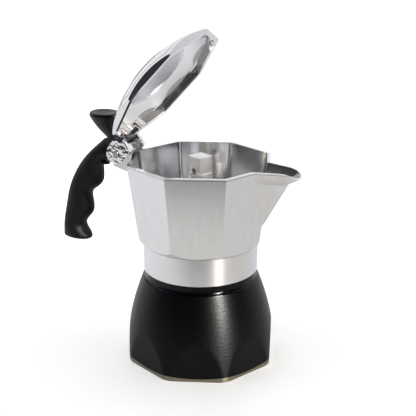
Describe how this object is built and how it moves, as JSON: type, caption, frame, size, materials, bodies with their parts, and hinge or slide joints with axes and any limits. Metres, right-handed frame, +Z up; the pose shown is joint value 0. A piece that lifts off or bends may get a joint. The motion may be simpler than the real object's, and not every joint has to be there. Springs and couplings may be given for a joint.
{
  "type": "stovetop moka pot",
  "caption": "Stovetop moka pot with an octagonal spouted pot screwed on a faceted boiler, a hinged lid with a thumb lever and a moulded finger-grip handle.",
  "frame": {"origin": "centre of the boiler's underside, on the hob", "axes": "+Z up along the pot's axis, +X towards the spout, -X towards the handle, +Y towards the pot's left seen from the handle"},
  "size_m": [0.165, 0.0983, 0.2048],
  "materials": {
    "pot_aluminium": "satin cast and brushed",
    "lid_aluminium": "polished",
    "inner_aluminium": "semi-gloss spun",
    "black_paint": "satin black with a bare lower edge",
    "black_plastic": "soft matte",
    "brass": "turned",
    "steel": "bright",
    "white_rubber": "matte"
  },
  "bodies": {
    "base": {"boiler": "black_paint", "valve_seal": "white_rubber", "valve_body": "brass", "valve_retainer": "brass", "funnel": "inner_aluminium", "funnel_screen": "inner_aluminium"},
    "valve_pin": {"valve_poppet": "brass", "valve_spring": "steel"},
    "seal": {"gasket": "white_rubber", "filter_plate": "inner_aluminium"},
    "pot": {"upper_pot": "pot_aluminium", "column": "inner_aluminium", "column_head": "inner_aluminium", "handle": "black_plastic", "handle_screw": "steel", "hinge_pin": "steel"},
    "lid": {"lid": "lid_aluminium", "lid_lever": "black_plastic", "lever_screw": "steel"}
  },
  "joints": [
    {"name": "valve_lift", "type": "slide", "parent": "base", "child": "valve_pin", "axis": [-0.3827, 0.9239, 0], "range_m": [0, 0.0015], "stiffness_N_per_m": 400, "springref_m": -0.0035},
    {"name": "thread_lift", "type": "slide", "parent": "base", "child": "seal", "axis": [0, 0, 1], "range_m": [0, 0.0079]},
    {"name": "pot_turn", "type": "hinge", "parent": "seal", "child": "pot", "pos_m": [0, 0, 0], "axis": [0, 0, 1], "range_deg": [0, 810]},
    {"name": "lid_hinge", "type": "hinge", "parent": "pot", "child": "lid", "pos_m": [-0.05345, 0, 0.1257], "axis": [0, -1, 0], "range_deg": [-52.5, 0]}
  ],
  "couplings": [
    {"joint": "thread_lift", "follows": "pot_turn", "m_per_rad": 0.00055704}
  ]
}
